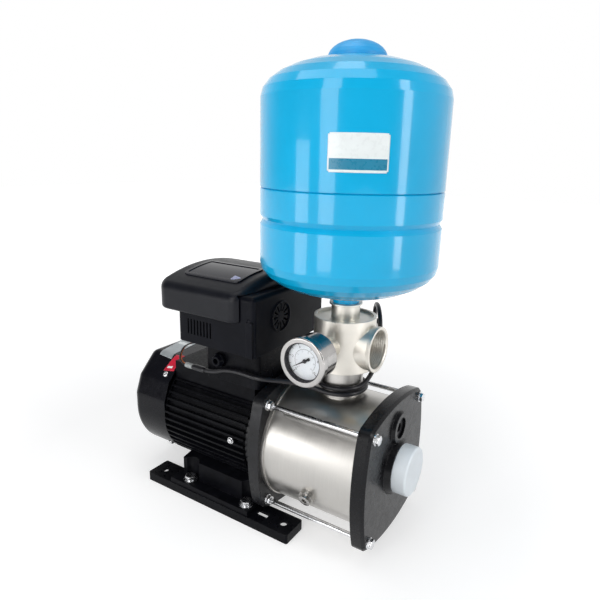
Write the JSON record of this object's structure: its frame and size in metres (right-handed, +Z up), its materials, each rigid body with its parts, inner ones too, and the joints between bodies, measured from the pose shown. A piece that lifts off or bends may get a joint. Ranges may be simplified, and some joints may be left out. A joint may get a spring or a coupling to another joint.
{
  "type": "booster pump",
  "caption": "Horizontal multistage booster pump with a finned motor, a drive on top, a ported manifold with a gauge and an upright diaphragm pressure tank.",
  "frame": {"origin": "middle of the base's hole pattern, on the floor plane", "axes": "+X along the shaft towards the inlet, -Y the side of the gauge and panel, +Z up along the tank's axis"},
  "size_m": [0.396, 0.2, 0.561],
  "materials": {
    "painted_black": "satin black paint",
    "black_plastic": "satin black moulding",
    "bright_zinc": "bright zinc plated steel",
    "brushed_stainless": "brushed stainless steel",
    "nickel": "satin nickel plated casting",
    "brass": "turned brass",
    "core_steel": "laminated steel",
    "copper_winding": "enamelled copper wire",
    "ceramic": "fine ceramic",
    "white_plastic": "pale polyethylene",
    "dial_white": "matt white",
    "clear_glass": "clear glass",
    "pointer_black": "matt black",
    "tank_blue": "gloss blue enamel",
    "collar_steel": "zinc plated steel",
    "cap_blue": "blue moulding",
    "black_rubber": "black rubber",
    "panel_gloss": "gloss black window",
    "board_green": "circuit board green",
    "cast_aluminium": "cast aluminium"
  },
  "bodies": {
    "pump_unit": {"base_frame": "painted_black", "motor_frame": "painted_black", "rear_shield": "painted_black", "motor_stool": "painted_black", "end_cover": "painted_black", "drive_neck": "painted_black", "fan_cover": "black_plastic", "drive_base": "black_plastic", "drive_hood": "black_plastic", "cable_gland": "black_plastic", "sensor_plug": "black_plastic", "foot_bolts": "bright_zinc", "foot_washers": "bright_zinc", "foot_nuts": "bright_zinc", "fan_cover_screws": "bright_zinc", "stay_bolts": "bright_zinc", "stay_washers": "bright_zinc", "drain_plug": "bright_zinc", "rear_bearing": "bright_zinc", "front_bearing": "bright_zinc", "pump_sleeve": "brushed_stainless", "chambers": "brushed_stainless", "discharge_plate": "brushed_stainless", "priming_plug": "brushed_stainless", "gauge_case": "brushed_stainless", "gauge_bezel": "brushed_stainless", "tank_nipple": "brushed_stainless", "pressure_sensor": "brushed_stainless", "manifold": "nickel", "gauge_stem": "brass", "gauge_movement": "brass", "tank_air_valve": "brass", "stator_core": "core_steel", "stator_windings": "copper_winding", "seal_seat": "ceramic", "gauge_dial": "dial_white", "gauge_glass": "clear_glass", "tank_lower_shell": "tank_blue", "tank_upper_shell": "tank_blue", "tank_collar": "collar_steel", "tank_bladder": "black_rubber", "sensor_cable": "black_rubber", "cable_sleeve": "black_rubber", "sensor_wires": "black_rubber", "control_panel": "panel_gloss", "circuit_board": "board_green", "drive_heat_sink": "cast_aluminium"},
    "shaft_line": {"shaft": "bright_zinc", "rotor_core": "core_steel", "motor_fan": "black_plastic", "impeller_1": "brushed_stainless", "impeller_2": "brushed_stainless", "impeller_3": "brushed_stainless", "impeller_4": "brushed_stainless", "seal_ring": "ceramic", "impeller_nut": "bright_zinc"},
    "drive_fan": {"drive_fan": "black_plastic"},
    "pointer": {"gauge_pointer": "pointer_black"},
    "valve_cap": {"tank_valve_cap": "cap_blue"},
    "inlet_cap": {"inlet_cap": "white_plastic"}
  },
  "joints": [
    {"name": "shaft_spin", "type": "hinge", "parent": "pump_unit", "child": "shaft_line", "pos_m": [0, 0, 0.095], "axis": [1, 0, 0], "continuous": true},
    {"name": "drive_fan_spin", "type": "hinge", "parent": "pump_unit", "child": "drive_fan", "pos_m": [0.06, -0.037, 0.262], "axis": [1, 0, 0], "continuous": true},
    {"name": "pointer_swing", "type": "hinge", "parent": "pump_unit", "child": "pointer", "pos_m": [0.136, -0.085, 0.237], "axis": [0, 1, 0], "range_deg": [0, 270], "stiffness_Nm_per_rad": 0.00002},
    {"name": "valve_cap_lift", "type": "slide", "parent": "pump_unit", "child": "valve_cap", "axis": [0, 0, 1], "range_m": [0, 0.03]},
    {"name": "inlet_cap_pull", "type": "slide", "parent": "pump_unit", "child": "inlet_cap", "axis": [1, 0, 0], "range_m": [0, 0.035]}
  ]
}
